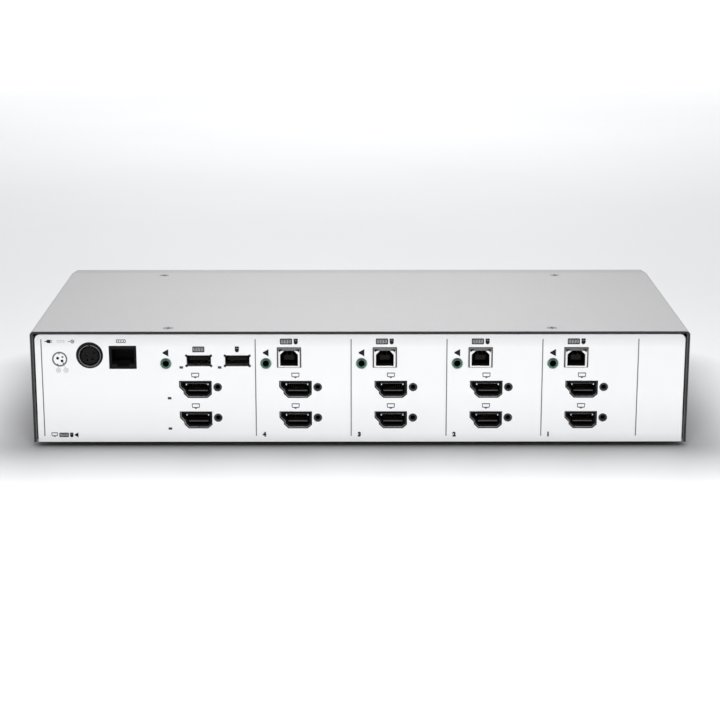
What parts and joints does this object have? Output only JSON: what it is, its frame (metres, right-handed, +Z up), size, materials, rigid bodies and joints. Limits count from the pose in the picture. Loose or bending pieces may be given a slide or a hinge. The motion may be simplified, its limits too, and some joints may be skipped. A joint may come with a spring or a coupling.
{
  "type": "kvm switch",
  "caption": "Flat steel desktop KVM switch box with a white socket panel for several computers and two screens, and push buttons on the opposite face.",
  "frame": {"origin": "bottom centre of the object, on the surface under the rubber feet", "axes": "+Z up; +X to the right of a person who faces the socket panel; the socket panel faces -Y and the push buttons face +Y"},
  "size_m": [0.34, 0.16, 0.0623],
  "materials": {
    "cover_paint": "fine-textured light grey powder coat; cut edges black",
    "panel_paint": "smooth satin white paint with grey printed marks",
    "tray_steel": "zinc-plated sheet steel",
    "screw_steel": "dark zinc-plated steel",
    "foot_rubber": "matt black",
    "bezel_plastic": "fine spark texture, light grey",
    "button_plastic": "smooth dark grey",
    "light_plastic": "clear moulded light pipe",
    "socket_metal": "nickel-plated sheet",
    "plate_metal": "nickel-plated front plate, duller along its top fold and its sides",
    "ring_metal": "dull nickel-plated ring",
    "socket_black": "black moulded insulator",
    "nut_black": "black oxide steel insert",
    "jack_green": "pale green moulded jack",
    "contact_gold": "gold-plated spring wire",
    "board_green": "solder mask on glass-fibre board",
    "chip_black": "moulded chip package",
    "fin_aluminium": "black anodised",
    "capacitor_sleeve": "printed plastic sleeve",
    "spacer_brass": "plain brass",
    "ribbon_grey": "flat flexible cable",
    "print_ink": "screen-printed ink"
  },
  "bodies": {
    "root": {"top_cover": "cover_paint", "cover_screws": "screw_steel", "chassis_tray": "tray_steel", "rubber_feet": "foot_rubber", "port_panel": "panel_paint", "audio_jack_4": "jack_green", "audio_jack_3": "jack_green", "audio_jack_2": "jack_green", "audio_jack_1": "jack_green", "audio_jack_console": "jack_green", "usb_a_shell_keyboard": "socket_metal", "usb_a_shell_mouse": "socket_metal", "usb_a_tongues": "socket_black", "usb_b_shell_4": "plate_metal", "usb_b_core_4": "socket_black", "usb_b_shell_3": "plate_metal", "usb_b_core_3": "socket_black", "usb_b_shell_2": "plate_metal", "usb_b_core_2": "socket_black", "usb_b_shell_1": "plate_metal", "usb_b_core_1": "socket_black", "video_shell_4": "socket_metal", "video_core_4": "socket_black", "video_shell_3": "socket_metal", "video_core_3": "socket_black", "video_shell_2": "socket_metal", "video_core_2": "socket_black", "video_shell_1": "socket_metal", "video_core_1": "socket_black", "video_shell_console": "socket_metal", "video_core_console": "socket_black", "video_lock_nuts": "nut_black", "power_inlet_body": "socket_black", "power_inlet_shell": "ring_metal", "network_jack_body": "socket_black", "network_contacts": "contact_gold", "video_board": "board_green", "usb_board": "board_green", "button_board": "board_green", "board_standoffs": "spacer_brass", "board_spacers": "spacer_brass", "board_screws": "screw_steel", "switch_chips": "chip_black", "heatsink": "fin_aluminium", "capacitors": "capacitor_sleeve", "ribbon_sockets": "socket_black", "ribbon_cables": "ribbon_grey", "front_bezel": "bezel_plastic", "tactile_switches": "chip_black", "light_pipes": "light_plastic"},
    "channel_1_key": {"channel_1_button": "button_plastic", "channel_1_plunger": "button_plastic"},
    "channel_2_key": {"channel_2_button": "button_plastic", "channel_2_plunger": "button_plastic"},
    "channel_3_key": {"channel_3_button": "button_plastic", "channel_3_plunger": "button_plastic"},
    "channel_4_key": {"channel_4_button": "button_plastic", "channel_4_plunger": "button_plastic"},
    "mode_key": {"mode_button": "button_plastic", "mode_plunger": "button_plastic"}
  },
  "joints": [
    {"name": "channel_1_press", "type": "slide", "parent": "root", "child": "channel_1_key", "axis": [0, -1, 0], "range_m": [0, 0.0006], "stiffness_N_per_m": 800, "springref_m": -0.0015},
    {"name": "channel_2_press", "type": "slide", "parent": "root", "child": "channel_2_key", "axis": [0, -1, 0], "range_m": [0, 0.0006], "stiffness_N_per_m": 800, "springref_m": -0.0015},
    {"name": "channel_3_press", "type": "slide", "parent": "root", "child": "channel_3_key", "axis": [0, -1, 0], "range_m": [0, 0.0006], "stiffness_N_per_m": 800, "springref_m": -0.0015},
    {"name": "channel_4_press", "type": "slide", "parent": "root", "child": "channel_4_key", "axis": [0, -1, 0], "range_m": [0, 0.0006], "stiffness_N_per_m": 800, "springref_m": -0.0015},
    {"name": "mode_press", "type": "slide", "parent": "root", "child": "mode_key", "axis": [0, -1, 0], "range_m": [0, 0.0006], "stiffness_N_per_m": 800, "springref_m": -0.0015}
  ]
}
